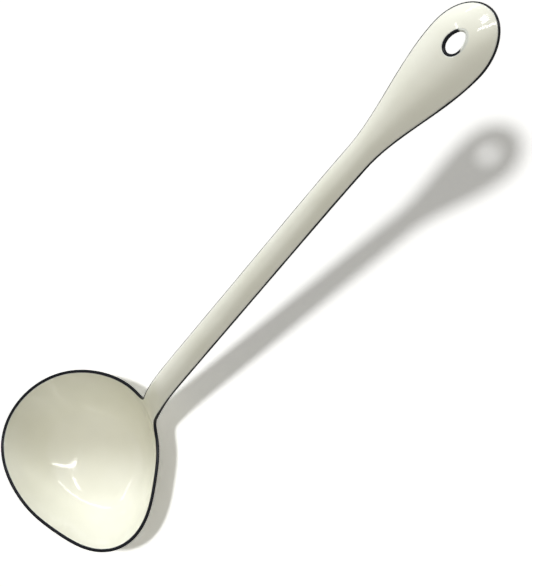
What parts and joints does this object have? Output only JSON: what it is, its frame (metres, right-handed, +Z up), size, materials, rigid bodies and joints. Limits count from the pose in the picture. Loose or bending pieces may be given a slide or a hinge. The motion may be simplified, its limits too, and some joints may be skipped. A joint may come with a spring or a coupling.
{
  "type": "soup ladle",
  "caption": "Enamelled steel soup ladle with a round pouring bowl, a long channelled handle and a hanging hole.",
  "frame": {"origin": "middle of the small flat under the bowl, on the surface that the bowl rests on", "axes": "+Z up out of the bowl's mouth, +X from the bowl towards the handle's end, +Y to the left of someone who holds the handle"},
  "size_m": [0.2865, 0.0942, 0.1922],
  "materials": {
    "cover_enamel": "glossy cream vitreous enamel",
    "steel": "low-carbon steel sheet, hidden under the enamel",
    "edge_enamel": "glossy blue-black vitreous enamel"
  },
  "bodies": {
    "ladle": {"inner_enamel": "cover_enamel", "steel_pressing": "steel", "outer_enamel": "cover_enamel", "rim_enamel": "edge_enamel", "hole_enamel": "edge_enamel"}
  },
  "joints": []
}
